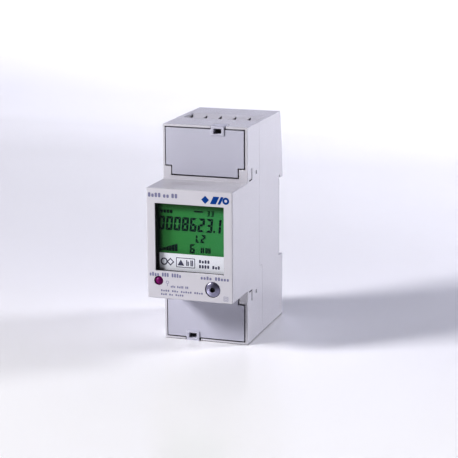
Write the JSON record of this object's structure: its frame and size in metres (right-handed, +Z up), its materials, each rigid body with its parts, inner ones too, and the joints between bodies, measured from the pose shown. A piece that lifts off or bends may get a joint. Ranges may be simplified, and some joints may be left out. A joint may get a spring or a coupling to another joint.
{
  "type": "single-phase energy meter",
  "caption": "Two-module rail-mounted electric energy meter with a green display, a push button, hinged terminal covers and clamp terminals.",
  "frame": {"origin": "centre of the rail seat, where the back of the meter meets the front of the mounting rail", "axes": "+X right seen from the front, -Y out of the front, +Z up"},
  "size_m": [0.036, 0.0688, 0.09],
  "materials": {
    "housing": "fine spark-eroded texture, pale lilac grey",
    "cover": "fine satin, pale bluish grey",
    "window": "clear polycarbonate, glossy",
    "black_plastic": "satin black",
    "label": "printed film",
    "lcd": "green backlit display glass",
    "elastomer": "striped elastomer",
    "light_guide": "clear acrylic",
    "led_body": "white lamp package",
    "circuit_board": "glass-epoxy board with solder mask",
    "pulse_lamp": "tinted lamp lens",
    "button": "polished, dished",
    "transformer": "wound coil between cheeks",
    "varistor": "dipped coating",
    "capacitor": "sleeved can",
    "steel": "plain",
    "busbar": "tinned edges, plain faces",
    "shunt": "resistance alloy",
    "clamp_steel": "zinc plated",
    "block_plastic": "moulded terminal block",
    "clip_plastic": "black nylon"
  },
  "bodies": {
    "meter": {"rear_housing": "housing", "front_housing": "housing", "display_window": "window", "display_frame": "black_plastic", "rating_label": "label", "lcd_panel": "lcd", "lcd_connector": "elastomer", "backlight_guide": "light_guide", "backlight_leds": "led_body", "display_board": "circuit_board", "pulse_led": "pulse_lamp", "tact_switch": "steel", "microcontroller": "black_plastic", "main_board": "circuit_board", "board_connector": "black_plastic", "metering_chip": "black_plastic", "supply_transformer": "transformer", "buffer_capacitor": "capacitor", "varistor": "varistor", "optocouplers": "black_plastic", "line_in_busbar": "busbar", "line_out_busbar": "busbar", "neutral_busbar": "busbar", "current_shunt": "shunt", "aux_terminal_block": "block_plastic", "aux_contacts": "busbar", "din_clip_spring": "steel"},
    "upper_cover": {"upper_terminal_cover": "cover"},
    "lower_cover": {"lower_terminal_cover": "cover"},
    "button": {"push_button": "button", "switch_plunger": "black_plastic"},
    "rail_clip": {"din_clip": "clip_plastic"},
    "main_screw_1": {"main_screw_1": "clamp_steel"},
    "main_cage_1": {"main_cage_1": "clamp_steel"},
    "main_screw_2": {"main_screw_2": "clamp_steel"},
    "main_cage_2": {"main_cage_2": "clamp_steel"},
    "main_screw_3": {"main_screw_3": "clamp_steel"},
    "main_cage_3": {"main_cage_3": "clamp_steel"},
    "aux_screw_1": {"aux_screw_1": "clamp_steel"},
    "aux_cage_1": {"aux_cage_1": "clamp_steel"},
    "aux_screw_2": {"aux_screw_2": "clamp_steel"},
    "aux_cage_2": {"aux_cage_2": "clamp_steel"},
    "aux_screw_3": {"aux_screw_3": "clamp_steel"},
    "aux_cage_3": {"aux_cage_3": "clamp_steel"},
    "aux_screw_4": {"aux_screw_4": "clamp_steel"},
    "aux_cage_4": {"aux_cage_4": "clamp_steel"},
    "aux_screw_5": {"aux_screw_5": "clamp_steel"},
    "aux_cage_5": {"aux_cage_5": "clamp_steel"}
  },
  "joints": [
    {"name": "upper_cover_hinge", "type": "hinge", "parent": "meter", "child": "upper_cover", "pos_m": [0, -0.0421, 0.0261], "axis": [1, 0, 0], "range_deg": [0, 90]},
    {"name": "lower_cover_hinge", "type": "hinge", "parent": "meter", "child": "lower_cover", "pos_m": [0, -0.0421, -0.0261], "axis": [-1, 0, 0], "range_deg": [0, 90]},
    {"name": "button_press", "type": "slide", "parent": "meter", "child": "button", "axis": [0, 1, 0], "range_m": [0, 0.0006], "stiffness_N_per_m": 400, "springref_m": -0.002},
    {"name": "rail_clip_slide", "type": "slide", "parent": "meter", "child": "rail_clip", "axis": [0, 0, -1], "range_m": [0, 0.0045], "stiffness_N_per_m": 1500, "springref_m": -0.003, "deforming": ["din_clip_spring"]},
    {"name": "main_screw_1_turn", "type": "hinge", "parent": "meter", "child": "main_screw_1", "pos_m": [-0.011, -0.036, -0.03775], "axis": [0, 1, 0], "range_deg": [0, 2880.1]},
    {"name": "main_cage_1_slide", "type": "slide", "parent": "meter", "child": "main_cage_1", "axis": [0, -1, 0], "range_m": [0, 0.0064]},
    {"name": "main_screw_2_turn", "type": "hinge", "parent": "meter", "child": "main_screw_2", "pos_m": [0, -0.036, -0.03775], "axis": [0, 1, 0], "range_deg": [0, 2880.1]},
    {"name": "main_cage_2_slide", "type": "slide", "parent": "meter", "child": "main_cage_2", "axis": [0, -1, 0], "range_m": [0, 0.0064]},
    {"name": "main_screw_3_turn", "type": "hinge", "parent": "meter", "child": "main_screw_3", "pos_m": [0.011, -0.036, -0.03775], "axis": [0, 1, 0], "range_deg": [0, 2880.1]},
    {"name": "main_cage_3_slide", "type": "slide", "parent": "meter", "child": "main_cage_3", "axis": [0, -1, 0], "range_m": [0, 0.0064]},
    {"name": "aux_screw_1_turn", "type": "hinge", "parent": "meter", "child": "aux_screw_1", "pos_m": [-0.0127, -0.036, 0.0332], "axis": [0, 1, 0], "range_deg": [0, 2240.1]},
    {"name": "aux_cage_1_slide", "type": "slide", "parent": "meter", "child": "aux_cage_1", "axis": [0, -1, 0], "range_m": [0, 0.0028]},
    {"name": "aux_screw_2_turn", "type": "hinge", "parent": "meter", "child": "aux_screw_2", "pos_m": [-0.00635, -0.036, 0.0332], "axis": [0, 1, 0], "range_deg": [0, 2240.1]},
    {"name": "aux_cage_2_slide", "type": "slide", "parent": "meter", "child": "aux_cage_2", "axis": [0, -1, 0], "range_m": [0, 0.0028]},
    {"name": "aux_screw_3_turn", "type": "hinge", "parent": "meter", "child": "aux_screw_3", "pos_m": [0, -0.036, 0.0332], "axis": [0, 1, 0], "range_deg": [0, 2240.1]},
    {"name": "aux_cage_3_slide", "type": "slide", "parent": "meter", "child": "aux_cage_3", "axis": [0, -1, 0], "range_m": [0, 0.0028]},
    {"name": "aux_screw_4_turn", "type": "hinge", "parent": "meter", "child": "aux_screw_4", "pos_m": [0.00635, -0.036, 0.0332], "axis": [0, 1, 0], "range_deg": [0, 2240.1]},
    {"name": "aux_cage_4_slide", "type": "slide", "parent": "meter", "child": "aux_cage_4", "axis": [0, -1, 0], "range_m": [0, 0.0028]},
    {"name": "aux_screw_5_turn", "type": "hinge", "parent": "meter", "child": "aux_screw_5", "pos_m": [0.0127, -0.036, 0.0332], "axis": [0, 1, 0], "range_deg": [0, 2240.1]},
    {"name": "aux_cage_5_slide", "type": "slide", "parent": "meter", "child": "aux_cage_5", "axis": [0, -1, 0], "range_m": [0, 0.0028]}
  ],
  "couplings": [
    {"joint": "main_screw_1_turn", "follows": "main_cage_1_slide", "rad_per_m": 7853.9},
    {"joint": "main_screw_2_turn", "follows": "main_cage_2_slide", "rad_per_m": 7853.9},
    {"joint": "main_screw_3_turn", "follows": "main_cage_3_slide", "rad_per_m": 7853.9},
    {"joint": "aux_screw_1_turn", "follows": "aux_cage_1_slide", "rad_per_m": 13963},
    {"joint": "aux_screw_2_turn", "follows": "aux_cage_2_slide", "rad_per_m": 13963},
    {"joint": "aux_screw_3_turn", "follows": "aux_cage_3_slide", "rad_per_m": 13963},
    {"joint": "aux_screw_4_turn", "follows": "aux_cage_4_slide", "rad_per_m": 13963},
    {"joint": "aux_screw_5_turn", "follows": "aux_cage_5_slide", "rad_per_m": 13963}
  ]
}
